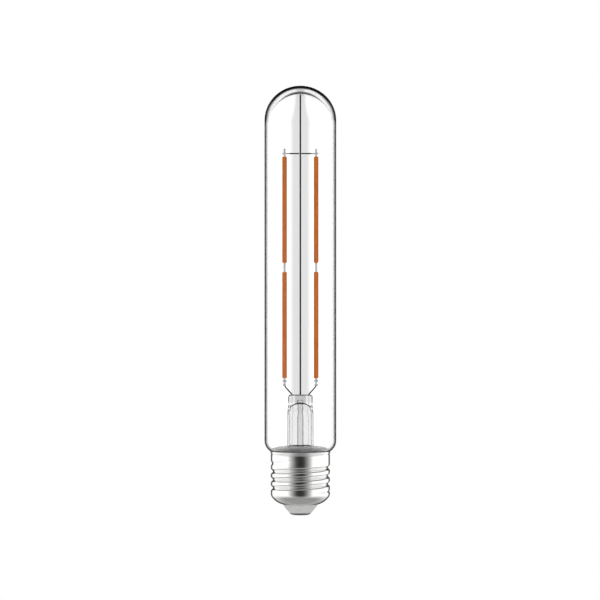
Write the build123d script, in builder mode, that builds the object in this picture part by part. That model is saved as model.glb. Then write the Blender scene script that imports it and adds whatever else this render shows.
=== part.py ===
from build123d import *

import os
from math import asin, atan2, cos, degrees, hypot, pi, radians, sin, sqrt, tan

# Tubular lamp: a long clear glass tube with four upright light filaments on a pressed glass
# stem, closed by a rolled screw cap. Millimetres, +Z up along the tube, the origin at the
# bottom of the centre contact, the filaments side by side along X.

# Glass tube
overall_length = 190.0
tube_diameter = 31.75
glass_wall = 0.875
dome_tip_wall = 2.6
shoulder_bend_share = 1.465
shoulder_slope = 65.0

# Rolled screw cap
crest_diameter = 26.2
thread_pitch = 3.629
thread_depth = 0.95
full_turns = 3
run_out_rise = 0.3
foot_land = 0.4
head_land = 0.1
thread_phase = 90
crest_draft = 0.03
sheet = 0.3
skirt_height = 2.9
flare_height = 1.2
lip_flare = 0.4
shell_mouth_diameter = 15.6
cap_shoulder_height = 3.95
cap_shoulder_bend = 8.3
groove_width = 2.65
root_width = 0.4
cement_thickness = 0.68

# Insulator and centre contact
contact_diameter = 10.0
contact_flat_diameter = 6.0
contact_thickness = 1.0
contact_edge = 0.4
insulator_tip_diameter = 9.7
insulator_drop = 3.7
rivet_diameter = 3.6
rivet_height = 1.6
fit_gap = 0.04

# Glass stem
stem_diameter = 11.8
stem_wall = 0.8
seal_thickness = 0.7
seal_gap = 0.15
trumpet_height = 5.7
press_top = 53.35
press_height = 5.2
press_shaping = 4.0
press_width = 10.9
press_thickness = 4.4
press_corner = 1.6
exhaust_diameter = 2.7
exhaust_wall = 0.35
exhaust_drop = 3.4
exhaust_tip_gap = 1.5
blow_hole_diameter = 1.0
blow_hole_drop = 2.6
hollow_drop = 3.5
hollow_tip = 0.5
hollow_width = 5.1
hollow_thickness = 1.1
hollow_corner = 1.7

# Filaments
filament_spacing = 14.0
coat_width = 1.95
coat_depth = 1.5
coat_length = 47.0
lower_coat_low = 60.55
column_gap = 4.05
strip_width = 1.0
strip_thickness = 0.4
strip_set_in = 1.5
chip_count = 8
chip_width = 0.6
chip_height = 0.15
chip_length = 3.0
tab_width = 1.0
tab_thickness = 0.25
top_tab_reach = 3.5
link_tab_reach = 3.3
bottom_tab_reach = 3.5

# Wires
wire_diameter = 0.5
bridge_diameter = 0.45
bridge_drop = 2.1
bridge_overhang = 1.05
support_embed = 1.5
lead_spacing = 7.2
lead_weld = 2.2
lead_rise = 0.7

# Driver in the cap
board_width = 16.0
board_thickness = 1.0
board_gap = 0.9
board_top_gap = 1.6
capacitor_diameter = 6.3
capacitor_length = 9.0
capacitor_side = -2.7
fuse_diameter = 2.4
fuse_length = 6.4
fuse_side = 5.4
block_length = 4.8
block_height = 3.9
block_thickness = 1.5
block_bevel = 0.3
block_side = 4.2
capacitor_rise = 1.2
fuse_rise = 2.2
neutral_turn = 2

# Heights and radii that follow, from the contact upwards
insulator_tip = contact_thickness
shell_low = insulator_tip + insulator_drop
thread_low = shell_low + cap_shoulder_height
groove_low = thread_low + foot_land + thread_pitch / 2
thread_top = groove_low + (full_turns + 1 / 2) * thread_pitch + head_land
skirt_top = thread_top + skirt_height
lip_top = skirt_top + flare_height
crest_radius = crest_diameter / 2
tube_radius = tube_diameter / 2
stem_radius = stem_diameter / 2
exhaust_radius = exhaust_diameter / 2
wire_radius = wire_diameter / 2
dome_centre = overall_length - tube_radius
inner_dome_centre = overall_length - dome_tip_wall - (tube_radius - glass_wall)

# The cap's lower shoulder bends along an arc through the shell's mouth and the thread's foot
mouth_radius = shell_mouth_diameter / 2
low_crest_radius = crest_radius - crest_draft
chord = hypot(low_crest_radius - mouth_radius, cap_shoulder_height)
chord_angle = atan2(cap_shoulder_height, low_crest_radius - mouth_radius)
half_bend = asin(chord / 2 / cap_shoulder_bend)
centre_reach = cap_shoulder_bend * cos(half_bend)
bend_centre_x = (low_crest_radius + mouth_radius) / 2 - centre_reach * sin(chord_angle)
bend_centre_z = (shell_low + thread_low) / 2 + centre_reach * cos(chord_angle)


# A point of that shoulder, by its share of the way up and its depth inside the metal
def shoulder_point(share, inset):
    angle = chord_angle - half_bend + 2 * half_bend * share
    reach = cap_shoulder_bend - inset
    return (bend_centre_x + reach * sin(angle), bend_centre_z - reach * cos(angle))


# The mouth of the cap flares out under the tube's shoulder, which clears the lip inside it
neck_radius = crest_radius - sheet - cement_thickness
shoulder_bend = shoulder_bend_share * (tube_radius - neck_radius)
lip_radius = crest_radius + lip_flare
shoulder_reach = lip_radius - sheet - seal_gap / 2 - (tube_radius - shoulder_bend)
tangent_share = tan(radians(shoulder_slope) / 2)
shoulder_corner = lip_top + sqrt(shoulder_bend**2 - shoulder_reach**2) - shoulder_bend * tangent_share
neck_corner = shoulder_corner - (tube_radius - neck_radius) / tan(radians(shoulder_slope))
neck_low = thread_top + seal_gap + seal_thickness

os.makedirs("parts", exist_ok=True)


# The tube's outline turned about the axis, or the room inside it when inset by the wall.
# The shoulder bends in to a slope that ends at the straight neck.
def tube_body(inset, dome_height, low):
    lift = inset * tangent_share
    radius = tube_radius - inset
    with BuildPart() as body:
        with BuildSketch(Plane.XZ):
            with BuildLine():
                dome = CenterArc((0, dome_height), radius, 0, 90)
                side = FilletPolyline(
                    dome @ 0,
                    (radius, shoulder_corner + lift),
                    (neck_radius - inset, neck_corner + lift),
                    radius=shoulder_bend - inset,
                )
                Polyline(side @ 1, (neck_radius - inset, low), (0, low), dome @ 1)
            make_face()
        revolve(axis=Axis.Z)
    return body.part


with BuildPart() as glass_envelope:
    add(tube_body(0, dome_centre, neck_low))
    add(tube_body(glass_wall, inner_dome_centre, neck_low - glass_wall), mode=Mode.SUBTRACT)
glass_envelope.part.label = "glass_envelope"
export_step(glass_envelope.part, "parts/glass_envelope.step")


# Section of the rolled groove, square to its path: a narrow root and two flanks, run on
# past the crest so that they cut clean through it. The hollow's groove is a sheet larger.
def groove_section(path, inset):
    outside = thread_depth / 3
    widening = 1 + outside / thread_depth
    mouth = root_width / 2 + widening * (groove_width - root_width) / 2
    with BuildSketch(Plane(origin=path @ 0, x_dir=(1, 0, 0), z_dir=path % 0)) as section:
        with BuildLine():
            flank = Polyline((outside, mouth), (-thread_depth, root_width / 2), (-thread_depth, 0))
            mirror(flank, about=Plane.XZ)
            Line((outside, mouth), (outside, -mouth))
        make_face()
        if inset:
            offset(amount=inset, kind=Kind.INTERSECTION)
            Rectangle(4 * thread_depth, thread_pitch - 2 * fit_gap, mode=Mode.INTERSECT)
    return section.sketch


# Cutter for the whole groove: full turns, and half a turn at each end that climbs out of
# the wall. The lower run-out is the upper one turned over, which keeps it right-handed.
def groove_cutter(inset):
    run_out_angle = degrees(atan2(thread_depth + run_out_rise, thread_pitch / 2))
    with BuildLine() as turns:
        Helix(thread_pitch, full_turns * thread_pitch, crest_radius)
    with BuildLine() as climb:
        Helix(thread_pitch, thread_pitch / 2, crest_radius, cone_angle=run_out_angle)
    section = groove_section(turns.line, inset)
    with BuildPart() as run_out:
        sweep(section, path=climb.line, is_frenet=True)
    with BuildPart() as cutter:
        sweep(section, path=turns.line, is_frenet=True)
        ends = (Location((0, 0, full_turns * thread_pitch)), Location((0, 0, 0), (180, 0, 0)))
        with Locations(*ends):
            add(run_out.part)
    return cutter.part


# The cap's outline turned about the axis with the groove rolled in, or the hollow inside
# the sheet when inset by its thickness. It runs on past both ends, which are trimmed later.
def cap_body(inset):
    mouth = shoulder_point(0, inset)
    with BuildPart() as body:
        with BuildSketch(Plane.XZ):
            with BuildLine():
                Polyline(
                    (0, shell_low - sheet),
                    (mouth[0], shell_low - sheet),
                    mouth,
                    shoulder_point(1 / 2, inset),
                    shoulder_point(1, inset),
                    (crest_radius - inset, thread_top),
                    (crest_radius - inset, skirt_top),
                    (lip_radius - inset, lip_top),
                    (lip_radius - inset, lip_top + sheet),
                    (0, lip_top + sheet),
                    close=True,
                )
            make_face()
        revolve(axis=Axis.Z)
        with Locations(Location((0, 0, groove_low), (0, 0, thread_phase))):
            add(groove_cutter(inset), mode=Mode.SUBTRACT)
    return body.part


with BuildPart() as screw_shell:
    add(cap_body(0))
    add(cap_body(sheet), mode=Mode.SUBTRACT)
    split(bisect_by=Plane.XY.offset(lip_top), keep=Keep.BOTTOM)
    split(bisect_by=Plane.XY.offset(shell_low), keep=Keep.TOP)
screw_shell.part.label = "screw_shell"
export_step(screw_shell.part, "parts/screw_shell.step")

# Cement ring that holds the neck in the plain skirt
with BuildPart() as capping_cement:
    with BuildSketch(Plane.XY.offset(thread_top + seal_gap)):
        Circle(crest_radius - sheet)
        Circle(neck_radius, mode=Mode.SUBTRACT)
    extrude(amount=neck_corner - thread_top - 2 * seal_gap)
capping_cement.part.label = "capping_cement"
export_step(capping_cement.part, "parts/capping_cement.step")

# Insulator: a cone up to the shell's mouth, spreading over the inside of its shoulder
seat_low = shoulder_point(0, sheet + fit_gap)
seat_high = shoulder_point(1 / 2, sheet + fit_gap)
insulator_top = seat_high[1]
with BuildPart() as cap_insulator:
    with BuildSketch(Plane.XZ):
        with BuildLine():
            Polyline(
                (rivet_diameter / 2, insulator_tip),
                (insulator_tip_diameter / 2, insulator_tip),
                seat_low,
                seat_high,
                (rivet_diameter / 2, insulator_top),
                close=True,
            )
        make_face()
    revolve(axis=Axis.Z)
cap_insulator.part.label = "cap_insulator"
export_step(cap_insulator.part, "parts/cap_insulator.step")

# Centre contact: a shallow dished disc with a rivet up into the insulator
with BuildPart() as centre_contact:
    with BuildSketch(Plane.XZ):
        with BuildLine():
            Polyline(
                (0, 0),
                (contact_flat_diameter / 2, 0),
                (contact_diameter / 2, contact_edge),
                (contact_diameter / 2, contact_thickness),
                (rivet_diameter / 2, contact_thickness),
                (rivet_diameter / 2, contact_thickness + rivet_height),
                (0, contact_thickness + rivet_height),
                close=True,
            )
        make_face()
    revolve(axis=Axis.Z)
centre_contact.part.label = "centre_contact"
export_step(centre_contact.part, "parts/centre_contact.step")


# One filament: a strip with a row of chips on its front, a metal tab at each end and the
# phosphor coat moulded round them. The tabs lie behind or before the plane y = 0.
def make_filament(name, side, coat_low, lower_reach, upper_reach, tab_side):
    coat_top = coat_low + coat_length
    strip_low = coat_low + strip_set_in
    strip_length = coat_length - 2 * strip_set_in
    middle = coat_low + coat_length / 2
    tab_y = tab_side * tab_thickness / 2
    chip_y = -(strip_thickness + chip_height) / 2
    with BuildPart() as strip:
        with BuildSketch(Plane.XY.offset(strip_low)):
            with Locations((side, 0)):
                Rectangle(strip_width, strip_thickness)
        extrude(amount=strip_length)
    with BuildPart() as chips:
        with Locations(Plane(origin=(side, chip_y, middle), x_dir=(1, 0, 0), z_dir=(0, -1, 0))):
            with GridLocations(0, strip_length / chip_count, 1, chip_count):
                Box(chip_width, chip_length, chip_height)
    with BuildPart() as bottom_tab:
        with BuildSketch(Plane.XY.offset(coat_low - lower_reach)):
            with Locations((side, tab_y)):
                Rectangle(tab_width, tab_thickness)
        extrude(amount=lower_reach + strip_set_in)
    with BuildPart() as top_tab:
        with BuildSketch(Plane.XY.offset(coat_top - strip_set_in)):
            with Locations((side, tab_y)):
                Rectangle(tab_width, tab_thickness)
        extrude(amount=upper_reach + strip_set_in)
    with BuildPart() as coat:
        with BuildSketch(Plane.XY.offset(coat_low)):
            with Locations((side, 0)):
                Ellipse(coat_width / 2, coat_depth / 2)
        extrude(amount=coat_length)
        with Locations((side, chip_y, middle)):
            Box(chip_width, chip_height, strip_length, mode=Mode.SUBTRACT)
        add(strip.part, mode=Mode.SUBTRACT)
        add(bottom_tab.part, mode=Mode.SUBTRACT)
        add(top_tab.part, mode=Mode.SUBTRACT)
    pieces = {"strip": strip, "chips": chips, "bottom_tab": bottom_tab, "top_tab": top_tab, "coat": coat}
    for piece_name, piece in pieces.items():
        piece.part.label = f"{name}_{piece_name}"
        export_step(piece.part, f"parts/{name}_{piece_name}.step")


upper_coat_low = lower_coat_low + coat_length + column_gap
for hand, side in (("left", -filament_spacing / 2), ("right", filament_spacing / 2)):
    make_filament(f"upper_{hand}", side, upper_coat_low, link_tab_reach, top_tab_reach, 1)
    make_filament(f"lower_{hand}", side, lower_coat_low, bottom_tab_reach, link_tab_reach, -1)

# Centre wire from the stem to the tip of the dome inside
inner_radius = tube_radius - glass_wall
support_top = inner_dome_centre + sqrt(inner_radius**2 - wire_radius**2)
with BuildPart() as centre_support_wire:
    with BuildSketch(Plane.XY.offset(press_top - support_embed)):
        Circle(wire_radius)
    extrude(amount=support_top - press_top + support_embed)
centre_support_wire.part.label = "centre_support_wire"
export_step(centre_support_wire.part, "parts/centre_support_wire.step")

# Bridge wire across the top tabs, welded behind them and behind the centre wire
bridge_z = upper_coat_low + coat_length + top_tab_reach - bridge_drop
bridge_y = max(tab_thickness, wire_radius) + bridge_diameter / 2
bridge_length = filament_spacing + 2 * bridge_overhang
with BuildPart() as bridge_wire:
    with BuildSketch(Plane.YZ.offset(-bridge_length / 2)):
        with Locations((bridge_y, bridge_z)):
            Circle(bridge_diameter / 2)
    extrude(amount=bridge_length)
bridge_wire.part.label = "bridge_wire"
export_step(bridge_wire.part, "parts/bridge_wire.step")

# Board in the cap and the heights that its parts share
seal_low = neck_low - seal_thickness
board_low = insulator_top + board_gap
board_high = seal_low - board_top_gap
board_middle = (board_low + board_high) / 2
board_front = wire_radius
board_back = board_front + board_thickness
with BuildPart() as driver_board:
    with Locations((0, board_front + board_thickness / 2, board_middle)):
        Box(board_width, board_thickness, board_high - board_low)
driver_board.part.label = "driver_board"
export_step(driver_board.part, "parts/driver_board.step")

# Lead-in wires: from the bottom tabs through the press and the hollow stem to the board
weld_low = lower_coat_low - bottom_tab_reach
stem_leads = {}
for hand, way in (("left", -1), ("right", 1)):
    weld_x = way * filament_spacing / 2
    lead_x = way * lead_spacing / 2
    with BuildPart() as lead:
        with BuildLine() as lead_path:
            Polyline(
                (weld_x, wire_radius, weld_low + lead_weld),
                (weld_x, wire_radius, weld_low),
                (lead_x, 0, press_top + lead_rise),
                (lead_x, 0, board_high - lead_weld),
            )
        with BuildSketch(Plane(origin=lead_path.line @ 0, z_dir=lead_path.line % 0)):
            Circle(wire_radius)
        sweep(path=lead_path.line, transition=Transition.RIGHT)
    lead.part.label = f"lead_in_wire_{hand}"
    export_step(lead.part, f"parts/lead_in_wire_{hand}.step")
    stem_leads[hand] = lead.part

# Exhaust tube, drawn shut to a point at its lower end
exhaust_top = press_top - exhaust_drop
exhaust_tip = board_high + exhaust_tip_gap
exhaust_bore = exhaust_radius - exhaust_wall
with BuildPart() as exhaust_tube:
    with BuildSketch(Plane.XZ):
        with BuildLine():
            Polyline(
                (0, exhaust_tip),
                (exhaust_radius, exhaust_tip + exhaust_diameter),
                (exhaust_radius, exhaust_top),
                (exhaust_bore, exhaust_top),
                (exhaust_bore, exhaust_tip + exhaust_diameter),
                (0, exhaust_tip + exhaust_diameter),
                close=True,
            )
        make_face()
    revolve(axis=Axis.Z)
exhaust_tube.part.label = "exhaust_tube"
export_step(exhaust_tube.part, "parts/exhaust_tube.step")


# Outline of the stem's tube from its sealed rim through the trumpet, turned about the axis
def stem_tube(inset, high):
    rim_radius = neck_radius - glass_wall - seal_gap
    slope = atan2(trumpet_height, rim_radius - stem_radius)
    trumpet_top = seal_low + trumpet_height - inset * tan((pi / 2 - slope) / 2)
    with BuildPart() as body:
        with BuildSketch(Plane.XZ):
            with BuildLine():
                Polyline(
                    (0, seal_low),
                    (rim_radius - inset / sin(slope), seal_low),
                    (stem_radius - inset, trumpet_top),
                    (stem_radius - inset, high),
                    (0, high),
                    close=True,
                )
            make_face()
        revolve(axis=Axis.Z)
    return body.part


# The flattened end of a round tube: a front outline with rounded corners, thinned from the
# sides along a slope. It shapes both the press and the hollow that narrows into it.
def flattened_end(radius, low, high, slope_top, width, thickness, corner):
    with BuildPart() as end:
        with BuildSketch(Plane.XZ):
            with BuildLine():
                Polyline((-radius, low), (-width / 2, high), (width / 2, high), (radius, low), close=True)
            front = make_face()
            fillet(front.vertices().group_by(Axis.Y)[-1], corner)
        extrude(amount=radius, both=True)
        with BuildSketch(Plane.YZ):
            with BuildLine():
                Polyline(
                    (-radius, low),
                    (-thickness / 2, slope_top),
                    (-thickness / 2, high),
                    (thickness / 2, high),
                    (thickness / 2, slope_top),
                    (radius, low),
                    close=True,
                )
            make_face()
        extrude(amount=radius, both=True, mode=Mode.INTERSECT)
        with BuildSketch(Plane.XY.offset(low)):
            Circle(radius)
        extrude(amount=high - low, mode=Mode.INTERSECT)
    return end.part


# Stem: the trumpet sealed under the neck, and the tube's upper end pressed flat round the
# wires. A blow hole leads from the exhaust tube's bore through the press to the bulb.
press_low = press_top - press_height
shaping_low = press_low - press_shaping
hollow_radius = stem_radius - stem_wall
hollow_top = press_top - hollow_drop
with BuildPart() as stem:
    add(stem_tube(0, shaping_low))
    with BuildSketch(Plane.XY.offset(seal_low)):
        Circle(neck_radius)
    extrude(amount=seal_thickness)
    add(
        flattened_end(
            stem_radius, shaping_low, press_top, press_low, press_width, press_thickness, press_corner
        )
    )
    add(stem_tube(stem_wall, shaping_low), mode=Mode.SUBTRACT)
    add(
        flattened_end(
            hollow_radius,
            shaping_low,
            hollow_top,
            hollow_top - hollow_tip,
            hollow_width,
            hollow_thickness,
            hollow_corner,
        ),
        mode=Mode.SUBTRACT,
    )
    with BuildSketch(Plane.XY.offset(shaping_low)):
        Circle(exhaust_radius)
    extrude(amount=press_top - blow_hole_drop + blow_hole_diameter - shaping_low, mode=Mode.SUBTRACT)
    with BuildSketch(Plane.XZ):
        with Locations((0, press_top - blow_hole_drop)):
            Circle(blow_hole_diameter / 2)
    extrude(amount=-press_thickness, mode=Mode.SUBTRACT)
    add(centre_support_wire.part, mode=Mode.SUBTRACT)
    add(stem_leads["left"], mode=Mode.SUBTRACT)
    add(stem_leads["right"], mode=Mode.SUBTRACT)
stem.part.label = "stem"
export_step(stem.part, "parts/stem.step")

# Parts on the board: rectifier and driver chip behind it, capacitor and fuse before it
for block_name, block_x, block_z in (
    ("bridge_rectifier", -block_side, board_middle + block_height / 2),
    ("driver_chip", block_side, board_middle - block_height / 2),
):
    with BuildPart() as block:
        with Locations((block_x, board_back + block_thickness / 2, block_z)):
            Box(block_length, block_thickness, block_height)
        chamfer(block.faces().sort_by(Axis.Y)[-1].edges(), block_bevel)
    block.part.label = block_name
    export_step(block.part, f"parts/{block_name}.step")

capacitor_start = capacitor_side - capacitor_length / 2
capacitor_z = board_low + capacitor_rise + capacitor_diameter / 2
with BuildPart() as smoothing_capacitor:
    with BuildSketch(Plane.YZ.offset(capacitor_start)):
        with Locations((board_front - capacitor_diameter / 2, capacitor_z)):
            Circle(capacitor_diameter / 2)
    extrude(amount=capacitor_length)
smoothing_capacitor.part.label = "smoothing_capacitor"
export_step(smoothing_capacitor.part, "parts/smoothing_capacitor.step")

fuse_y = board_front - fuse_diameter / 2
fuse_low = board_low + fuse_rise
with BuildPart() as fuse_resistor:
    with BuildSketch(Plane.XY.offset(fuse_low)):
        with Locations((fuse_side, fuse_y)):
            Circle(fuse_diameter / 2)
    extrude(amount=fuse_length)
fuse_resistor.part.label = "fuse_resistor"
export_step(fuse_resistor.part, "parts/fuse_resistor.step")

# Live lead from the fuse down to the contact's rivet
live_bend_z = insulator_top + board_gap
with BuildPart() as live_lead:
    with BuildLine() as live_path:
        Polyline(
            (fuse_side, fuse_y, fuse_low),
            (fuse_side, fuse_y, live_bend_z),
            (0, 0, live_bend_z),
            (0, 0, contact_thickness + rivet_height),
        )
    with BuildSketch(Plane(origin=live_path.line @ 0, z_dir=live_path.line % 0)):
        Circle(wire_radius)
    sweep(path=live_path.line, transition=Transition.RIGHT)
live_lead.part.label = "live_lead"
export_step(live_lead.part, "parts/live_lead.step")

# Neutral lead from the board's edge to the inside of a rolled root
root_inside = crest_radius - thread_depth - sheet
neutral_y = board_front + board_thickness / 2
neutral_reach = sqrt((root_inside - 2 * fit_gap) ** 2 - neutral_y**2)
neutral_z = groove_low + thread_pitch * (neutral_turn + (180 - thread_phase) / 360)
with BuildPart() as neutral_lead:
    with BuildSketch(Plane.YZ.offset(-neutral_reach)):
        with Locations((neutral_y, neutral_z)):
            Circle(wire_radius)
    extrude(amount=neutral_reach - board_width / 2)
neutral_lead.part.label = "neutral_lead"
export_step(neutral_lead.part, "parts/neutral_lead.step")
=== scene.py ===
import math

import bpy
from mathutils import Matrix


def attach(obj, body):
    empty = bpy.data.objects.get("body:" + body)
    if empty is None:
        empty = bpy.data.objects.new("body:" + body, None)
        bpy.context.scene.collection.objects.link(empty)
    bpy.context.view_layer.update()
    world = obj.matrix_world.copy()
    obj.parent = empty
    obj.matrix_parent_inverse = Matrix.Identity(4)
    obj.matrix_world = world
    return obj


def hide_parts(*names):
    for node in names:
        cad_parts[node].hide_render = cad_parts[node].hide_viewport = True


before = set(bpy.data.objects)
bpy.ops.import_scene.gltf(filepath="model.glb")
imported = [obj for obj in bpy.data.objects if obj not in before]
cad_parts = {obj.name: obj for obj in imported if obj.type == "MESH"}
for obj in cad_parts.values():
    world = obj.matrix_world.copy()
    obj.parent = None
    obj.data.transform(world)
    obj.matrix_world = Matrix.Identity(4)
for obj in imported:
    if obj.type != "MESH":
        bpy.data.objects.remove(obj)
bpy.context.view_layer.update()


# Glass envelope. One blown tube of clear soda glass, with a domed tip that is thicker where
# the gather was drawn off and a shoulder tucked in to a neck; the tip is 190 mm over the contact.
# It is turned from one outline, outside down and inside up, so its wall has true thickness.
mm = 0.001
bulb_height = 190.0
tube_radius = 15.875
glass_wall = 0.875
dome_height = 15.3
dome_centre_z = bulb_height - dome_height
inner_dome_z = 172.4
shoulder_bend = 5.5
shoulder_z = 32.87
tuck_angle = -65
neck_radius = 12.12
neck_round = 0.9
neck_round_drop = 0.75
neck_opening_z = 26.6
neck_foot_z = 24.52


def arc(centre, radius, start, end, count, squash=1.0):
    """Points (radius, height) along an arc from one angle to another in degrees, its height squashed."""
    points = []
    for i in range(count + 1):
        angle = math.radians(start + (end - start) * i / count)
        points.append((centre[0] + radius * math.cos(angle), centre[1] + squash * radius * math.sin(angle)))
    return points


def sewn(open_sides=0):
    """Merges the points that meet in the piece at hand, fills its open ends and turns its faces out."""
    bpy.ops.object.mode_set(mode="EDIT")
    bpy.ops.mesh.select_all(action="SELECT")
    bpy.ops.mesh.remove_doubles(threshold=0.001 * mm)
    if open_sides:
        bpy.ops.mesh.fill_holes(sides=open_sides)
    bpy.ops.mesh.normals_make_consistent(inside=False)
    bpy.ops.object.mode_set(mode="OBJECT")


def turned(name, outline, steps, smooth_angle=40):
    """Draws an outline of (radius, height) points in millimetres edge by edge and spins it round the axis."""
    bpy.ops.object.select_all(action="DESELECT")
    bpy.ops.mesh.primitive_plane_add(size=mm)
    piece = bpy.context.object
    piece.name = piece.data.name = name
    bpy.ops.object.mode_set(mode="EDIT")
    bpy.ops.mesh.select_all(action="SELECT")
    bpy.ops.mesh.merge(type="CENTER")
    bpy.ops.transform.translate(value=(outline[0][0] * mm, 0, outline[0][1] * mm))
    for (r0, z0), (r1, z1) in zip(outline, outline[1:]):
        step = ((r1 - r0) * mm, 0, (z1 - z0) * mm)
        bpy.ops.mesh.extrude_region_move(TRANSFORM_OT_translate={"value": step})
    bpy.ops.mesh.select_all(action="SELECT")
    bpy.ops.mesh.spin(steps=steps, angle=2 * math.pi, center=(0, 0, 0), axis=(0, 0, 1))
    bpy.ops.object.mode_set(mode="OBJECT")
    sewn()
    bpy.ops.object.shade_smooth_by_angle(angle=math.radians(smooth_angle))
    return piece


shoulder_centre = (tube_radius - shoulder_bend, shoulder_z)
tuck = arc(shoulder_centre, shoulder_bend, 0, tuck_angle, 14)
inner_tuck = arc(shoulder_centre, shoulder_bend - glass_wall, tuck_angle, 0, 14)
neck_turn = arc((neck_radius + neck_round, tuck[-1][1] - neck_round_drop), neck_round, 120, 180, 4)
neck_bore = neck_radius - glass_wall
outline = arc((0, dome_centre_z), tube_radius, 90, 0, 26, dome_height / tube_radius) + tuck + neck_turn
outline += [(neck_radius, neck_foot_z), (neck_bore, neck_foot_z), (neck_bore, neck_opening_z)]
outline += inner_tuck + arc((0, inner_dome_z), tube_radius - glass_wall, 0, 90, 26)
envelope = turned("glass_tube", outline, 160, 50)


def nodes_of(name):
    """A new material with an empty tree, its Principled shader joined to the output."""
    material = bpy.data.materials.new(name)
    material.use_nodes = True
    tree = material.node_tree
    tree.nodes.clear()
    output = tree.nodes.new("ShaderNodeOutputMaterial")
    shader = tree.nodes.new("ShaderNodeBsdfPrincipled")
    tree.links.new(shader.outputs["BSDF"], output.inputs["Surface"])
    return material, tree, shader


def ramp(tree, source, stops):
    """A grey ramp on a value, with stops of (position, level)."""
    node = tree.nodes.new("ShaderNodeValToRGB")
    points = node.color_ramp.elements
    while len(points) < len(stops):
        points.new(0.5)
    for point, (position, level) in zip(points, stops):
        point.position = position
        point.color = (level, level, level, 1)
    tree.links.new(source, node.inputs["Fac"])
    return node.outputs["Color"]


def grain_group():
    """The grain that the finishes share: noise on the piece, stretched, between two colours."""
    group = bpy.data.node_groups.new("Stretched grain", "ShaderNodeTree")
    settings = {"Stretch": "Vector", "Scale": "Float", "Detail": "Float", "Dark": "Color", "Light": "Color"}
    for name, kind in settings.items():
        group.interface.new_socket(name=name, in_out="INPUT", socket_type=f"NodeSocket{kind}")
    for name, kind in (("Color", "Color"), ("Value", "Float")):
        group.interface.new_socket(name=name, in_out="OUTPUT", socket_type=f"NodeSocket{kind}")
    given = group.nodes.new("NodeGroupInput")
    result = group.nodes.new("NodeGroupOutput")
    where = group.nodes.new("ShaderNodeTexCoord")
    mapping = group.nodes.new("ShaderNodeMapping")
    texture = group.nodes.new("ShaderNodeTexNoise")
    spread = group.nodes.new("ShaderNodeMapRange")
    spread.inputs["From Min"].default_value = 0.3
    spread.inputs["From Max"].default_value = 0.7
    colors = group.nodes.new("ShaderNodeMix")
    colors.data_type = "RGBA"
    for source, target in (
        (where.outputs["Object"], mapping.inputs["Vector"]),
        (given.outputs["Stretch"], mapping.inputs["Scale"]),
        (mapping.outputs["Vector"], texture.inputs["Vector"]),
        (given.outputs["Scale"], texture.inputs["Scale"]),
        (given.outputs["Detail"], texture.inputs["Detail"]),
        (texture.outputs["Fac"], spread.inputs["Value"]),
        (spread.outputs["Result"], colors.inputs["Factor"]),
        (given.outputs["Dark"], colors.inputs["A"]),
        (given.outputs["Light"], colors.inputs["B"]),
        (colors.outputs["Result"], result.inputs["Color"]),
        (spread.outputs["Result"], result.inputs["Value"]),
    ):
        group.links.new(source, target)
    return group


stretched_grain = grain_group()


def grain(tree, scale, dark=(0, 0, 0), light=(1, 1, 1), detail=3.0, stretch=(1, 1, 1)):
    """Places the shared grain in a material with its own values; gives its colour and its value."""
    node = tree.nodes.new("ShaderNodeGroup")
    node.node_tree = stretched_grain
    node.inputs["Stretch"].default_value = stretch
    node.inputs["Scale"].default_value = scale
    node.inputs["Detail"].default_value = detail
    node.inputs["Dark"].default_value = (*dark, 1)
    node.inputs["Light"].default_value = (*light, 1)
    return node.outputs["Color"], node.outputs["Value"]


def feed(tree, socket, value):
    """Sets a socket to a number, or joins another node's result to it."""
    if isinstance(value, (int, float)):
        socket.default_value = value
    else:
        tree.links.new(value, socket)


def math_node(tree, operation, a, b=0.0):
    """A sum, product or other simple result of two values, either of which may be a number."""
    node = tree.nodes.new("ShaderNodeMath")
    node.operation = operation
    feed(tree, node.inputs[0], a)
    feed(tree, node.inputs[1], b)
    return node.outputs["Value"]


def smooth(tree, value, start, end, low, high):
    """Eases from one level to another as a value goes between two limits."""
    node = tree.nodes.new("ShaderNodeMapRange")
    node.interpolation_type = "SMOOTHSTEP"
    for name, level in zip(("From Min", "From Max", "To Min", "To Max"), (start, end, low, high)):
        node.inputs[name].default_value = level
    tree.links.new(value, node.inputs["Value"])
    return node.outputs["Result"]


def mixed(tree, factor, a, b):
    """One colour easing to another."""
    node = tree.nodes.new("ShaderNodeMix")
    node.data_type = "RGBA"
    tree.links.new(factor, node.inputs["Factor"])
    tree.links.new(a, node.inputs["A"])
    tree.links.new(b, node.inputs["B"])
    return node.outputs["Result"]


def place_on_piece(tree):
    """The three axes of the place on the piece, in metres."""
    where = tree.nodes.new("ShaderNodeTexCoord")
    axes = tree.nodes.new("ShaderNodeSeparateXYZ")
    tree.links.new(where.outputs["Object"], axes.inputs["Vector"])
    return axes.outputs


def mark_skin(piece, centre_z):
    """Marks the outer skin of a hollow piece with 1 and the wall of its hollow with 0."""
    skin = piece.data.attributes.new("skin", "FLOAT", "POINT")
    for vertex in piece.data.vertices:
        x, y, z = vertex.co
        away = vertex.normal.x * x + vertex.normal.y * y + vertex.normal.z * max(0.0, z - centre_z * mm)
        skin.data[vertex.index].value = 1.0 if away > 0 else 0.0


def bare_glass(name, gloss):
    """Clear glass without a colour yet, and its facing value with faint vertical draw lines in it, from which
    the glass's colour is made dark at the rims as painted shade.
    """
    material, tree, shader = nodes_of(name)
    shader.inputs["Transmission Weight"].default_value = 1.0
    shader.inputs["IOR"].default_value = 1.5
    shader.inputs["Roughness"].default_value = 0.0
    shader.inputs["Specular Tint"].default_value = (gloss, gloss, gloss, 1)
    weight = tree.nodes.new("ShaderNodeLayerWeight")
    weight.inputs["Blend"].default_value = 0.5
    lines = math_node(tree, "MULTIPLY", grain(tree, 260, detail=2.0, stretch=(1, 1, 0.04))[1], 0.004)
    return material, tree, shader, math_node(tree, "ADD", weight.outputs["Facing"], lines)


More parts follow.
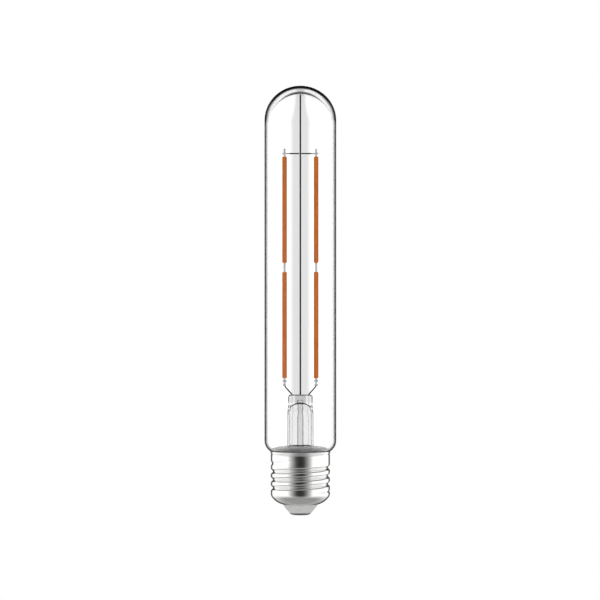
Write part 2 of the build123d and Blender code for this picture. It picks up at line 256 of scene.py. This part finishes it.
mark_skin(envelope, dome_centre_z)
drawn_glass, tree, shader, facing = bare_glass("Drawn clear glass, painted dark rims", 0.1)
# Painted shade: the glass's colour falls from clear to dark at its rims as the facing rises, on the tube's
# outside and inside and round the dome.
tube_outside_rim_shade = ramp(tree, facing, ((0.0, 0.98), (0.5, 0.97), (0.6, 0.45), (0.7, 0.012), (1.0, 0.004)))
tube_inside_rim_shade = ramp(tree, facing, ((0.0, 0.98), (0.6, 0.97), (0.75, 0.85), (0.9, 0.5), (1.0, 0.3)))
dome_outside_rim_shade = ramp(tree, facing, ((0.42, 0.98), (0.51, 0.75), (0.58, 0.5), (0.625, 0.0), (1.0, 0.0)))
dome_inside_rim_shade = ramp(tree, facing, ((0.0, 0.98), (0.74, 0.95), (0.8, 0.02), (0.85, 0.0), (1.0, 0.0)))
in_dome = smooth(tree, place_on_piece(tree)["Z"], 0.176, 0.183, 0.0, 1.0)
outside = mixed(tree, in_dome, tube_outside_rim_shade, dome_outside_rim_shade)
inside = mixed(tree, in_dome, tube_inside_rim_shade, dome_inside_rim_shade)
skin = tree.nodes.new("ShaderNodeAttribute")
skin.attribute_name = "skin"
tree.links.new(mixed(tree, skin.outputs["Fac"], inside, outside), shader.inputs["Base Color"])
envelope.data.materials.append(drawn_glass)
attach(envelope, "root")
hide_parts("glass_envelope")


# Stem. A short tube of the same glass with its upper end pressed flat round the wires while
# it was soft. Its sections go from a flat block with rounded corners to a round tube, and the
# hollow rises under the press as an arch.
stem_radius = 5.9
stem_bore = 5.1
press_top = 53.35
press_foot = 49.0
press_run = 4.8
press_half_width = 5.5
press_half_depth = 2.2
press_square = 4.5
circle = 2.0
top_half_width = 2.4
top_half_depth = 1.0
corner_round = 1.3
edge_round = 1.1
hollow_half_depth = 1.4
hollow_low = 44.2
arch_low = 45.4
arch_top = 49.85
flare_top = 30.6


def pressed_depth(z, flat, full):
    """Half depth at a height, from the flat of the press to the full round of the tube."""
    share = min(1.0, max(0.0, (press_foot - z) / press_run))
    return flat + (full - flat) * share * share * (3 - 2 * share)


def stem_sections():
    """Half width, half depth, squareness and height of each ring, down the outside and up the hollow."""
    rings = [(0.0, 0.0, press_square, press_top), (top_half_width, top_half_depth, press_square, press_top)]
    for i in range(9):
        angle = math.pi / 2 * i / 8
        width = press_half_width + corner_round * (math.sin(angle) - 1)
        depth = press_half_depth + edge_round * (math.sin(angle) - 1)
        rings.append((width, depth, press_square, press_top - edge_round * (1 - math.cos(angle))))
    for i in range(17):
        z = press_foot - press_run * i / 16
        width = pressed_depth(z, press_half_width, stem_radius)
        depth = pressed_depth(z, press_half_depth, stem_radius)
        rings.append((width, depth, press_square + (circle - press_square) * i / 16, z))
    tube_heights = (40.0, 36.0, 33.0, flare_top)
    rings += [(stem_radius, stem_radius, circle, z) for z in tube_heights]
    rings += [(stem_bore, stem_bore, circle, z) for z in tube_heights[::-1] + (hollow_low,)]
    for i in range(1, 25):
        z = hollow_low + (arch_top - hollow_low) * math.sin(math.pi / 2 * i / 24)
        rise = max(0.0, (z - arch_low) / (arch_top - arch_low))
        width = stem_bore * math.sqrt(max(0.0, 1 - rise * rise))
        depth = pressed_depth(z, hollow_half_depth, stem_bore) * math.sqrt(max(0.0, 1 - rise ** 4))
        rings.append((width, min(width, depth), circle, z))
    return rings


def power(value, exponent):
    """A signed power, for the rounded squares of the sections."""
    return math.copysign(abs(value) ** exponent, value)


def wrapped(name, columns, rows, point_at):
    """Wraps a grid round into a skin; point_at gives each point in millimetres from its angle and row."""
    bpy.ops.object.select_all(action="DESELECT")
    bpy.ops.mesh.primitive_grid_add(x_subdivisions=columns, y_subdivisions=rows, size=1)
    piece = bpy.context.object
    piece.name = piece.data.name = name
    for vertex in piece.data.vertices:
        angle = (vertex.co.x + 0.5) * 2 * math.pi
        row = (vertex.co.y + 0.5) * rows
        vertex.co = [value * mm for value in point_at(angle, row)]
    return piece


stem_rings = stem_sections()


def stem_point(angle, row):
    """A point on one of the stem's rings, which are rounded squares in the press and circles below."""
    width, depth, square, z = stem_rings[round(row)]
    return width * power(math.cos(angle), 2 / square), depth * power(math.sin(angle), 2 / square), z


stem = wrapped("pressed_stem", 128, len(stem_rings) - 1, stem_point)
sewn()
bpy.ops.object.shade_smooth_by_angle(angle=math.radians(40))
# Painted shade: the stem glass's colour darkens at its rims as the facing rises, and on the flat of the press
# in a band that draws its outline.
worked_glass, tree, shader, facing = bare_glass("Flame-worked stem glass, painted dark rims", 0.15)
round_glass_rim_shade = ramp(tree, facing, ((0.0, 0.86), (0.46, 0.84), (0.6, 0.5), (0.74, 0.08), (0.9, 0.01)))
flat_rim_shade_stops = ((0.0, 0.7), (0.1, 0.66), (0.2, 0.06), (0.46, 0.0), (0.56, 0.5), (1.0, 0.6))
flat_glass_rim_shade = ramp(tree, facing, flat_rim_shade_stops)
in_press = smooth(tree, place_on_piece(tree)["Z"], 0.0485, 0.0505, 0.0, 1.0)
tree.links.new(mixed(tree, in_press, round_glass_rim_shade, flat_glass_rim_shade), shader.inputs["Base Color"])
stem.data.materials.append(worked_glass)
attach(stem, "root")
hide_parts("stem")


# Stem flare. The foot of the stem spreads to the neck and is melted to it. The seal is full of
# strain and fine bubbles; it is made grey and hardly clear as painted shade and reflection for the dim cap
# seen through it.
flare_lip = flare_top - 0.02
seal_radius = 11.18
seal_z = 24.5
flare_bore = 10.3
flare_foot = 23.82
upper_side = [(stem_bore, flare_lip), (stem_radius, flare_lip), (6.6, 30.4), (8.0, 30.2), (9.6, 29.95)]
melted_rim = [(11.2, 29.6), (12.2, 29.15), (12.45, 28.85), (12.0, 28.35), (seal_radius, 26.75)]
foot = [(seal_radius, seal_z), (neck_radius, seal_z), (neck_radius, flare_foot), (flare_bore, flare_foot)]
inside = [(flare_bore, 27.3), (8.8, 28.7), (7.2, 29.2), (5.7, 29.6), (stem_bore, 30.1)]
inside.append((stem_bore, flare_lip))
flare = turned("sealed_flare", upper_side + melted_rim + foot + inside, 128, 60)


def bump(tree, shader, height, strength, distance):
    """Feeds a height into the shader's normal as a shallow relief."""
    node = tree.nodes.new("ShaderNodeBump")
    node.inputs["Strength"].default_value = strength
    node.inputs["Distance"].default_value = distance
    tree.links.new(height, node.inputs["Height"])
    tree.links.new(node.outputs["Normal"], shader.inputs["Normal"])


seal_glass, tree, shader = nodes_of("Grey seal glass, painted shade")
# The grey of the seal is painted shade and reflection; the grain in it is its fine bubbles.
bubbles_and_painted_shade = grain(tree, 900, (0.50, 0.50, 0.505), (0.62, 0.62, 0.625), 4.0, (1, 1, 2.0))
tree.links.new(bubbles_and_painted_shade[0], shader.inputs["Base Color"])
shader.inputs["Transmission Weight"].default_value = 0.3
shader.inputs["IOR"].default_value = 1.5
shader.inputs["Roughness"].default_value = 0.18
bump(tree, shader, bubbles_and_painted_shade[1], 0.1, 0.03 * mm)
flare.data.materials.append(seal_glass)
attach(flare, "root")
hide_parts("stem")


# Exhaust tube. The thin tube through which the air was drawn off, fused into the press above
# and melted shut to a drop at its lower end. At this size its bore can't be told from its
# wall, so it is turned as one body, its colour darkening towards its sides as painted shade.
exhaust_radius = 1.35
exhaust_foot = 23.72
exhaust_top = 50.8
exhaust_round = 0.4
drop = arc((0, exhaust_foot + exhaust_radius), exhaust_radius, -75, 0, 6)
top_edge = arc((exhaust_radius - exhaust_round, exhaust_top - exhaust_round), exhaust_round, 20, 90, 4)
outline = [(0, exhaust_foot)] + drop + [(exhaust_radius, exhaust_top - exhaust_round)] + top_edge
outline += [(0, exhaust_top)]
exhaust = turned("exhaust_glass", outline, 48, 50)
exhaust_glass, tree, shader, facing = bare_glass("Thin exhaust glass, painted dark rims", 0.15)
thin_rim_shade_stops = ((0.0, 0.8), (0.22, 0.76), (0.38, 0.15), (0.6, 0.02), (1.0, 0.01))
tree.links.new(ramp(tree, facing, thin_rim_shade_stops), shader.inputs["Base Color"])
exhaust.data.materials.append(exhaust_glass)
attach(exhaust, "root")
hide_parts("exhaust_tube")


# Wires. Drawn nickel-iron, dulled nearly black by the flame: the upright that the filaments
# hang from, the bridge over them, which is bright where it was welded, and the two short
# leads in the cap.
upright_radius = 0.36
upright_foot = 53.1
upright_top = 187.38
bridge_radius = 0.29
bridge_reach = 8.05
bridge_y = 0.56
bridge_z = 160.0


def oxidised_wire(name):
    """Wire dulled by the flame, with fine streaks along it; its colour is given and not yet joined."""
    material, tree, shader = nodes_of(name)
    bare, streaks = grain(tree, 4000, (0.01, 0.01, 0.01), (0.025, 0.024, 0.023), 4.0, (1, 1, 0.15))
    shader.inputs["Roughness"].default_value = 0.5
    shader.inputs["Specular IOR Level"].default_value = 0.2
    bump(tree, shader, streaks, 0.15, 0.02 * mm)
    return material, tree, shader, bare


wire_metal, tree, shader, bare = oxidised_wire("Oxidised nickel wire")
tree.links.new(bare, shader.inputs["Base Color"])
bridge_metal, tree, shader, bare = oxidised_wire("Bridge wire, bright where it was welded")
bright = grain(tree, 4000, (0.42, 0.42, 0.41), (0.6, 0.6, 0.59), 4.0)[0]
from_middle = math_node(tree, "ABSOLUTE", place_on_piece(tree)["X"])
ends = smooth(tree, from_middle, 0.0047, 0.0051, 0.0, 1.0)
tree.links.new(mixed(tree, ends, bare, bright), shader.inputs["Base Color"])


def dress(node, material):
    """Gives a construction piece its finish in place of the plain one that it came with."""
    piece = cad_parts[node]
    piece.data.materials.clear()
    piece.data.materials.append(material)


def strand(name, points, radius, sides):
    """A round wire through points in millimetres, its joints mitred and its ends closed."""

    def skin_point(angle, row):
        """A point on the wire's skin, in the plane that halves the bend."""
        i = round(row)
        x, y, z = points[i]
        before = points[max(i - 1, 0)]
        after = points[min(i + 1, len(points) - 1)]
        slope = math.atan2(after[0] - before[0], before[2] - after[2])
        across = radius * math.cos(angle)
        return x + across * math.cos(slope), y + radius * math.sin(angle), z + across * math.sin(slope)

    wire = wrapped(name, sides, len(points) - 1, skin_point)
    sewn(sides)
    bpy.ops.object.shade_smooth_by_angle(angle=math.radians(40))
    return wire


upright = strand("upright_wire", ((0, 0, upright_foot), (0, 0, upright_top)), upright_radius, 24)
upright.data.materials.append(wire_metal)
bridge_ends = [(reach, bridge_y, bridge_z) for reach in (-bridge_reach, bridge_reach)]
bridge = strand("crossing_wire", bridge_ends, bridge_radius, 24)
bridge.data.materials.append(bridge_metal)
for piece, node in ((upright, "centre_support_wire"), (bridge, "bridge_wire")):
    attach(piece, "root")
    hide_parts(node)
for lead in ("live_lead", "neutral_lead"):
    dress(lead, wire_metal)


# Lead-ins. Each is a stout wire from the bottom tab down to the press, where it is welded to
# a hair-thin copper-clad wire that the glass grips and that runs on to the board in the cap.
filament_x = 7.0
lead_x = 3.6
stout_radius = 0.3
clad_radius = 0.07
board_z = 20.0


def drawn_metal(name, dark, light, roughness, fineness):
    """Bare metal with a fine streaked grain and uneven polish."""
    material, tree, shader = nodes_of(name)
    shader.inputs["Metallic"].default_value = 1.0
    color, streaks = grain(tree, fineness, (dark,) * 3, (light,) * 3, 4.0, (1, 1, 0.15))
    tree.links.new(color, shader.inputs["Base Color"])
    polish = smooth(tree, streaks, 0.0, 1.0, roughness * 0.8, roughness * 1.2)
    tree.links.new(polish, shader.inputs["Roughness"])
    bump(tree, shader, streaks, 0.15, 0.02 * mm)
    return material


clad_metal = drawn_metal("Copper-clad wire", 0.55, 0.7, 0.4, 4000)
for hand, way in (("left", -1), ("right", 1)):
    route = [(filament_x * way, 0.25, 59.2), (filament_x * way, 0.25, 57.2), (6.75 * way, 0.2, 56.8)]
    route += [(3.7 * way, 0, 53.3), (lead_x * way, 0, 52.8)]
    stout = strand(f"stout_lead_{hand}", route, stout_radius, 24)
    stout.data.materials.append(wire_metal)
    in_glass = ((lead_x * way, 0, 52.9), (lead_x * way, 0, board_z))
    thin = strand(f"clad_lead_{hand}", in_glass, clad_radius, 12)
    thin.data.materials.append(clad_metal)
    for piece in (stout, thin):
        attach(piece, "root")
        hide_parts(f"lead_in_wire_{hand}")


# Filaments. Each carrier strip with its row of emitters is coated all round with silicone
# full of orange phosphor, and a thin metal tab leaves the coat at each end. The coat is
# shaped once and copied to its four places.
coat_half_width = 0.975
coat_half_depth = 0.75
coat_length = 47.0
coat_round = 0.3
upper_coat_foot = 111.6
lower_coat_foot = 60.55
phosphor, tree, shader = nodes_of("Orange phosphor silicone")
cloud = grain(tree, 260, (0.69, 0.167, 0.018), (0.80, 0.217, 0.022), 2.0, (1, 1, 0.25))[0]
speckle = grain(tree, 5200, (0.60, 0.137, 0.018), (0.82, 0.242, 0.026), 2.0)[0]
grains = grain(tree, 5200, detail=2.0)[1]
speckled = smooth(tree, grains, 0.5, 1.0, 0.1, 0.5)
tree.links.new(mixed(tree, speckled, cloud, speckle), shader.inputs["Base Color"])
shader.inputs["Roughness"].default_value = 0.6
shader.inputs["Specular IOR Level"].default_value = 0.1
bump(tree, shader, grains, 0.3, 0.03 * mm)

bpy.ops.object.select_all(action="DESELECT")
bpy.ops.mesh.primitive_cylinder_add(vertices=40, radius=mm, depth=coat_length * mm)
coat_form = bpy.context.object
bpy.ops.transform.resize(value=(coat_half_width, coat_half_depth, 1))
bpy.ops.object.transform_apply(location=True, rotation=True, scale=True)
bpy.ops.object.mode_set(mode="EDIT")
bpy.ops.mesh.select_all(action="DESELECT")
bpy.ops.object.mode_set(mode="OBJECT")
for edge in coat_form.data.edges:
    a, b = (coat_form.data.vertices[i].co for i in edge.vertices)
    edge.select = abs(a.z - b.z) < mm
bpy.ops.object.mode_set(mode="EDIT")
bpy.ops.mesh.bevel(offset=coat_round * mm, segments=4, affect="EDGES")
bpy.ops.object.mode_set(mode="OBJECT")
bpy.ops.object.shade_smooth_by_angle(angle=math.radians(60))
coat_form.data.materials.append(phosphor)


def placed_copy(form, name, place, size=(1, 1, 1)):
    """A copy of a form with its own mesh, at a place in millimetres and in its own size."""
    piece = form.copy()
    piece.data = form.data.copy()
    piece.name = piece.data.name = name
    bpy.context.collection.objects.link(piece)
    bpy.ops.object.select_all(action="DESELECT")
    piece.select_set(True)
    bpy.context.view_layer.objects.active = piece
    piece.location = [value * mm for value in place]
    piece.scale = size
    bpy.ops.object.transform_apply(location=True, rotation=True, scale=True)
    return piece


for level, coat_foot in (("upper", upper_coat_foot), ("lower", lower_coat_foot)):
    for hand, way in (("left", -1), ("right", 1)):
        middle = (filament_x * way, 0, coat_foot + coat_length / 2)
        coat = placed_copy(coat_form, f"{level}_{hand}_phosphor", middle)
        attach(coat, "root")
        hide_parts(f"{level}_{hand}_coat")
# The form goes with its mesh.
bpy.data.meshes.remove(coat_form.data)


def plain_finish(name, dark, light, roughness, fineness, relief=0.2):
    """A moulded, coated or fired surface with a soft mottle, and a fine relief unless that is 0."""
    material, tree, shader = nodes_of(name)
    color, mottle = grain(tree, fineness, dark, light)
    tree.links.new(color, shader.inputs["Base Color"])
    shader.inputs["Roughness"].default_value = roughness
    if relief:
        bump(tree, shader, mottle, relief, 0.03 * mm)
    return material


tab_metal = drawn_metal("Stamped tab metal", 0.6, 0.8, 0.6, 2500)
ceramic = plain_finish("White carrier ceramic", (0.70, 0.70, 0.67), (0.80, 0.80, 0.78), 0.5, 1500, 0)
emitter = plain_finish("Blue emitter dies", (0.08, 0.12, 0.26), (0.16, 0.22, 0.4), 0.2, 2600, 0)
for filament in ("upper_left", "upper_right", "lower_left", "lower_right"):
    dress(f"{filament}_top_tab", tab_metal)
    dress(f"{filament}_bottom_tab", tab_metal)
    dress(f"{filament}_strip", ceramic)
    dress(f"{filament}_chips", emitter)


# Welds. Small fused beads where the tabs meet the bridge, each other and the lead-ins. The
# metal has run a little way along the tab, so each bead is a lump with a drawn-out shoulder.
bpy.ops.object.select_all(action="DESELECT")
bpy.ops.mesh.primitive_uv_sphere_add(segments=20, ring_count=12, radius=mm)
bead_form = bpy.context.object
bpy.ops.object.mode_set(mode="EDIT")
bpy.ops.mesh.select_all(action="DESELECT")
bpy.ops.object.mode_set(mode="OBJECT")
for vertex in bead_form.data.vertices:
    vertex.select = vertex.co.z > 0.55 * mm
bpy.ops.object.mode_set(mode="EDIT")
bpy.ops.transform.resize(value=(0.6, 0.6, 1.0))
bpy.ops.transform.translate(value=(0, 0, 0.35 * mm))
bpy.ops.object.mode_set(mode="OBJECT")
bpy.ops.object.shade_smooth()
bead_form.data.materials.append(tab_metal)
bridge_beads = ((0.2, bridge_z, 0.6), (0.1, bridge_z + 1.7, 0.5))
lead_beads = ((0.05, 59.3, 1.0), (0.1, 57.5, 0.85))
joint_beads = ((0, 109.6, 0.45),)
column_beads = bridge_beads + lead_beads + joint_beads
beads = [(filament_x * way, y, z, size) for y, z, size in column_beads for way in (-1, 1)]
beads.append((0, 0.5, bridge_z, 0.65))
for i, (x, y, z, size) in enumerate(beads, start=1):
    bead = placed_copy(bead_form, f"weld_bead_{i}", (x, y, z), (size, size * 0.75, min(size, 0.7) * 0.8))
    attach(bead, "root")
# The form goes with its mesh.
bpy.data.meshes.remove(bead_form.data)


# Screw shell. Thin bright aluminium sheet with the thread rolled into it: broad rounded
# crests, narrow roots that fade out at both ends, a drawn-in shoulder and a flared lip.
# It is a fine tube whose rings are set to the rolled profile, then given the sheet's thickness.
crest_radius = 13.1
sheet_thickness = 0.28
pitch = 3.629
thread_depth = 0.95
thread_turns = 3.0
thread_low = 11.1
thread_start = 0.25
run_out = 0.5
run_out_spare = 0.02
groove_half = 1.5
groove_power = 1.35
shell_foot = 4.7
shoulder_arc = 8.3
shoulder_arc_x = 5.86
shoulder_arc_z = 12.77
shell_shoulder = 8.65
shoulder_reach = 1.5
shoulder_blend = 0.45
lip_low = 26.9
lip_arc = 3.2
lip_top = 28.1
crease_reach = 0.5
crease_half = 0.4
crease_depth = 0.16
shell_rows = 160
shell_columns = 192


def ease(value):
    """Smooth step from 0 to 1."""
    value = min(1.0, max(0.0, value))
    return value * value * (3 - 2 * value)


def rolled_radius(angle, height):
    """Radius of the shell's outside at an angle and a height, in millimetres."""
    fall = (shoulder_arc_z - height) / shoulder_arc
    shoulder = shoulder_arc_x + shoulder_arc * math.sqrt(max(0.0, 1 - fall * fall))
    if height < shell_shoulder - shoulder_reach:
        return shoulder
    if height < shell_shoulder + shoulder_reach:
        near = max(0.0, shoulder_blend - abs(crest_radius - shoulder)) / shoulder_blend
        return min(crest_radius, shoulder) - near * near * shoulder_blend / 4
    if height > lip_low - crease_reach:
        lift = max(0.0, height - lip_low) / lip_arc
        crease = max(0.0, 1 - ((height - lip_low) / crease_half) ** 2)
        flared = crest_radius + lip_arc * (1 - math.sqrt(1 - lift * lift))
        return flared - crease_depth * crease * crease
    turn = (angle / (2 * math.pi) - thread_start) % 1.0
    offset = (height - thread_low) / pitch - turn
    nearest = round(offset)
    away = abs(offset - nearest) * pitch
    travelled = nearest + turn
    rolled_in = ease(1 + (travelled + run_out_spare) / run_out)
    rolled_out = ease(1 - (travelled - thread_turns - run_out_spare) / run_out)
    wave = 0.5 + 0.5 * math.cos(math.pi * min(1.0, away / groove_half))
    return crest_radius - thread_depth * wave ** groove_power * rolled_in * rolled_out


def shell_point(angle, row):
    """A point on the shell's outside."""
    height = shell_foot + row / shell_rows * (lip_top - shell_foot)
    radius = rolled_radius(angle, height)
    return radius * math.cos(angle), radius * math.sin(angle), height


shell = wrapped("rolled_screw_shell", shell_columns, shell_rows, shell_point)
sewn()
sheet = shell.modifiers.new("sheet", "SOLIDIFY")
sheet.thickness = sheet_thickness * mm
sheet.offset = -1
bpy.ops.object.modifier_apply(modifier=sheet.name)
bpy.ops.object.shade_smooth_by_angle(angle=math.radians(50))

cap_metal, tree, shader = nodes_of("Bright rolled aluminium")
shader.inputs["Metallic"].default_value = 1.0
sheet_color, rolling = grain(tree, 900, (0.80, 0.80, 0.79), (0.88, 0.88, 0.87), 5.0, (0.15, 0.15, 1.6))
handling = grain(tree, 220, detail=4.0)[1]
tree.links.new(sheet_color, shader.inputs["Base Color"])
tree.links.new(smooth(tree, handling, 0.0, 1.0, 0.1, 0.2), shader.inputs["Roughness"])
bump(tree, shader, rolling, 0.06, 0.04 * mm)
shell.data.materials.append(cap_metal)
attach(shell, "root")
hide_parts("screw_shell")


# Insulator and contact. A cone of pale fired glass locks the contact in the shell's mouth;
# the contact is a tinned disc, a little dished, on a short shank that the glass holds.
shank_radius = 1.8
shank_top = 2.6
contact_radius = 4.8
contact_seat = 1.0
insulator_waist = 7.68
insulator_rim = 9.8
insulator_rim_low = 6.0
insulator_top = 6.6
outline = [(shank_radius, contact_seat), (contact_radius, contact_seat), (5.2, 1.45), (6.5, 2.95), (7.6, 4.4)]
outline += [(insulator_waist, 4.7), (insulator_waist, 5.05), (insulator_rim, insulator_rim_low)]
outline += [(insulator_rim, insulator_top), (shank_radius, insulator_top), (shank_radius, contact_seat)]
insulator = turned("pale_insulator", outline, 96, 40)
pale, tree, shader = nodes_of("Pale fired glass")
tree.links.new(grain(tree, 900, (0.52, 0.52, 0.51), (0.62, 0.62, 0.61), 4.0)[0], shader.inputs["Base Color"])
shader.inputs["Roughness"].default_value = 0.35
bump(tree, shader, grain(tree, 2500)[1], 0.15, 0.03 * mm)
insulator.data.materials.append(pale)
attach(insulator, "root")
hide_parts("cap_insulator")

dish = [(0, 0), (2.7, 0), (3.4, 0.07), (4.0, 0.26), (4.5, 0.56), (contact_radius, 0.9)]
back = [(contact_radius, contact_seat), (shank_radius, contact_seat)]
shank = [(shank_radius, shank_top), (0, shank_top)]
contact = turned("tinned_contact", dish + back + shank, 80, 40)
contact_metal = drawn_metal("Tinned contact", 0.20, 0.34, 0.42, 900)
contact.data.materials.append(contact_metal)
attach(contact, "root")
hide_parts("centre_contact")


# Cement and driver. The ring of capping cement grips the neck, and the little board under it
# carries the rectifier, the driver chip, the capacitor and the fuse resistor.
cement = plain_finish("Capping cement", (0.5, 0.46, 0.4), (0.62, 0.58, 0.5), 0.8, 1200)
dress("capping_cement", cement)
laminate = plain_finish("Green laminate", (0.02, 0.1, 0.04), (0.04, 0.16, 0.07), 0.4, 800)
dress("driver_board", laminate)
moulded = plain_finish("Moulded black", (0.012, 0.012, 0.012), (0.03, 0.03, 0.03), 0.5, 1500)
dress("bridge_rectifier", moulded)
dress("driver_chip", moulded)
sleeve = plain_finish("Shrink sleeve", (0.02, 0.02, 0.03), (0.04, 0.04, 0.05), 0.3, 1000)
dress("smoothing_capacitor", sleeve)
lacquer = plain_finish("Resistor lacquer", (0.2, 0.3, 0.36), (0.3, 0.4, 0.46), 0.35, 1200)
dress("fuse_resistor", lacquer)


# Studio. A pale table well below the bulb, out of the photograph's frame, and white light
# from all round, with a dark gap at the camera for gloss, a grey strip behind the glass and
# a dark patch behind the dome's rim.
table_size = 3.4
table_z = -0.25
bpy.ops.object.select_all(action="DESELECT")
bpy.ops.mesh.primitive_plane_add(size=table_size, location=(0, 0, table_z))
table = bpy.context.object
table.name = "pale_table"
bpy.ops.object.transform_apply(location=True, rotation=True, scale=True)
paper = plain_finish("Pale table paper", (0.80, 0.80, 0.80), (0.84, 0.84, 0.84), 0.9, 40, 0)
table.data.materials.append(paper)
table.visible_transmission = False
table.visible_glossy = False

world = bpy.data.worlds.new("White studio")
bpy.context.scene.world = world
world.use_nodes = True
tree = world.node_tree
tree.nodes.clear()
output = tree.nodes.new("ShaderNodeOutputWorld")
background = tree.nodes.new("ShaderNodeBackground")
background.inputs["Color"].default_value = (1, 1, 1, 1)
tree.links.new(background.outputs["Background"], output.inputs["Surface"])
where = tree.nodes.new("ShaderNodeTexCoord")
direction = tree.nodes.new("ShaderNodeSeparateXYZ")
tree.links.new(where.outputs["Generated"], direction.inputs["Vector"])
sideways, backward, upward = (direction.outputs[axis] for axis in "XYZ")


def product(*levels):
    """All levels multiplied together."""
    result = levels[0]
    for level in levels[1:]:
        result = math_node(tree, "MULTIPLY", result, level)
    return result


def choose(ray, other, seen):
    """One level for a kind of ray, which may be a number, and another for the rest."""
    node = tree.nodes.new("ShaderNodeMix")
    node.data_type = "FLOAT"
    tree.links.new(ray, node.inputs["Factor"])
    feed(tree, node.inputs["A"], other)
    feed(tree, node.inputs["B"], seen)
    return node.outputs["Result"]


forward = product(backward, -1.0)
wide_stops = ((0.6, 1.3), (0.67, 1.1), (0.748, 0.74), (0.815, 0.51))
narrow_stops = ((0.888, 0.3), (0.943, 0.12), (0.972, 0.055), (1.0, 0.022))
front_gap = ramp(tree, forward, wide_stops + narrow_stops)
back_gap = smooth(tree, backward, 0.70, 0.87, 1.0, 0.06)
top_gap = smooth(tree, upward, 0.2, 0.7, 1.0, 0.25)
low_gap = smooth(tree, upward, -0.9, -0.1, 0.27, 1.0)
far_off = smooth(tree, backward, 0.66, 0.8, 0.0, 1.0)
high_up = smooth(tree, upward, 0.2, 0.45, 0.0, 1.0)
rim_gap = smooth(tree, product(far_off, high_up), 0.0, 1.0, 1.0, 0.1)
gloss_level = product(front_gap, back_gap, top_gap, low_gap, rim_gap)
off_middle = math_node(tree, "ABSOLUTE", sideways)
across_strip = math_node(tree, "DIVIDE", off_middle, smooth(tree, upward, 0.12, 0.5, 1.0, 3.2))
strip = smooth(tree, across_strip, 0.0085, 0.0195, 0.66, 1.0)
through_level = product(smooth(tree, upward, 0.6, 0.78, 1.2, 0.02), strip)
soft_level = smooth(tree, upward, -1.0, 1.0, 0.85, 1.1)
path = tree.nodes.new("ShaderNodeLightPath")
level = choose(path.outputs["Is Glossy Ray"], soft_level, gloss_level)
level = choose(path.outputs["Is Transmission Ray"], level, through_level)
level = choose(path.outputs["Is Camera Ray"], level, 1.0)
tree.links.new(level, background.inputs["Strength"])

camera_distance = 1.25
picture_middle = (-0.00016, 0.09515)
picture_height = 0.26568
sensor = 36
camera_place = (picture_middle[0], -camera_distance, picture_middle[1])
bpy.ops.object.camera_add(location=camera_place, rotation=(math.pi / 2, 0, 0))
camera = bpy.context.object
camera.data.sensor_width = sensor
camera.data.lens = sensor * camera_distance / picture_height
camera.data.clip_end = 20
bpy.context.scene.camera = camera
bpy.context.scene.view_settings.view_transform = "Standard"
